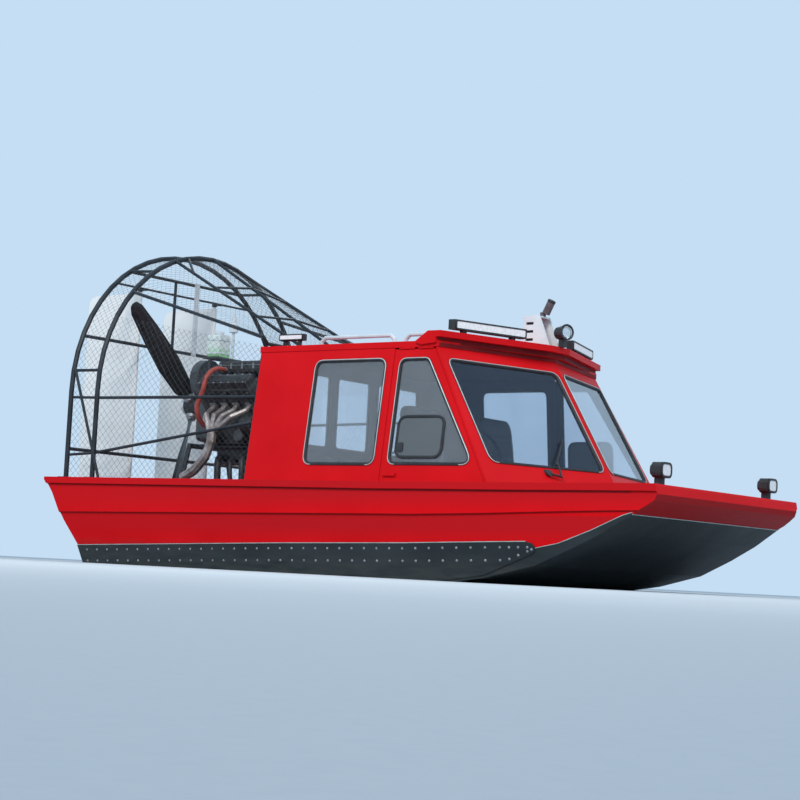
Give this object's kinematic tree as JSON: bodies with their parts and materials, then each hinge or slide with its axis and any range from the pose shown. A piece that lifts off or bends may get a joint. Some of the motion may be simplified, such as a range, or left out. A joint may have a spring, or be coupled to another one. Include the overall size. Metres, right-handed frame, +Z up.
{
  "type": "amphibious boat",
  "caption": "Cabin airboat with a flat riveted bottom, a hollow cabin with gull-wing doors, an open V8, a caged air propeller and air rudders behind it.",
  "frame": {"origin": "under the middle of the whole length and beam, on the flat bottom", "axes": "+X toward the bow, +Y to port, +Z up"},
  "size_m": [5.377, 2.44, 2.4466],
  "materials": {
    "hull_red": "gloss marine paint",
    "black_polymer": "satin polymer sheet with rivets",
    "deck_grey": "non-skid paint",
    "tinted_glass": "tinted, gloss",
    "frame_paint": "powder coat",
    "bare_aluminium": "satin",
    "chrome_pipe": "polished",
    "engine_black": "painted",
    "drive_grey": "cast",
    "white_plastic": "gloss",
    "dark_plastic": "satin",
    "lamp_lens": "clear lens over white LEDs",
    "seat_vinyl": "marine vinyl",
    "carbon_blade": "carbon composite"
  },
  "bodies": {
    "hull": {"hull_shell": "hull_red", "bottom_sheet": "black_polymer", "chine_strip_starboard": "black_polymer", "chine_strip_port": "black_polymer", "deck_rim": "hull_red", "fore_deck": "hull_red", "engine_floor": "deck_grey", "cabin_tub": "deck_grey", "side_panel_starboard": "hull_red", "side_panel_port": "hull_red", "side_glass_starboard": "tinted_glass", "side_glass_port": "tinted_glass", "windshield_frame": "hull_red", "windshield_glass_starboard": "tinted_glass", "windshield_glass_port": "tinted_glass", "rear_wall": "hull_red", "rear_glass_starboard": "tinted_glass", "rear_glass_middle": "tinted_glass", "rear_glass_port": "tinted_glass", "cabin_roof": "hull_red", "roof_rail_starboard": "bare_aluminium", "roof_rail_port": "bare_aluminium", "light_bar_starboard": "lamp_lens", "light_bar_port": "lamp_lens", "lamp_bracket": "white_plastic", "searchlight": "dark_plastic", "camera": "dark_plastic", "bow_lamp_starboard": "dark_plastic", "bow_lamp_port": "dark_plastic", "side_lamp": "lamp_lens", "wiper": "dark_plastic", "engine_block": "engine_black", "intake": "engine_black", "accessory_drive": "engine_black", "exhaust_header_starboard": "chrome_pipe", "exhaust_header_port": "chrome_pipe", "reduction_drive": "drive_grey", "coolant_tank": "white_plastic", "beacon": "white_plastic", "engine_stand": "frame_paint", "cage_rear_hoop": "frame_paint", "cage_post": "bare_aluminium", "cage_mid_hoop": "frame_paint", "cage_hood": "frame_paint", "cage_guard_starboard": "frame_paint", "cage_guard_port": "frame_paint", "rudder_shelf": "frame_paint", "driver_seat": "seat_vinyl", "passenger_seat": "seat_vinyl", "rear_bench": "seat_vinyl", "dashboard": "dark_plastic", "steering_wheel": "dark_plastic"},
    "propeller": {"propeller": "carbon_blade"},
    "rudder_s": {"rudder_starboard": "bare_aluminium"},
    "rudder_p": {"rudder_port": "bare_aluminium"},
    "door_s": {"door_starboard": "hull_red", "door_glass_starboard": "tinted_glass"},
    "door_p": {"door_port": "hull_red", "door_glass_port": "tinted_glass"}
  },
  "joints": [
    {"name": "propeller_spin", "type": "hinge", "parent": "hull", "child": "propeller", "pos_m": [-1.9175, 0, 1.289], "axis": [1, 0, 0], "continuous": true},
    {"name": "rudder_starboard_turn", "type": "hinge", "parent": "hull", "child": "rudder_s", "pos_m": [-2.1495, -0.42, 1.4], "axis": [0, 0, 1], "range_deg": [-35, 35]},
    {"name": "rudder_port_turn", "type": "hinge", "parent": "hull", "child": "rudder_p", "pos_m": [-2.1495, 0.42, 1.4], "axis": [0, 0, 1], "range_deg": [-35, 35]},
    {"name": "door_starboard_lift", "type": "hinge", "parent": "hull", "child": "door_s", "pos_m": [0.9905, -0.974, 1.538], "axis": [-1, 0, 0], "range_deg": [0, 75]},
    {"name": "door_port_lift", "type": "hinge", "parent": "hull", "child": "door_p", "pos_m": [0.9905, 0.974, 1.538], "axis": [1, 0, 0], "range_deg": [0, 75]}
  ],
  "couplings": [
    {"joint": "rudder_port_turn", "follows": "rudder_starboard_turn", "ratio": 1}
  ]
}
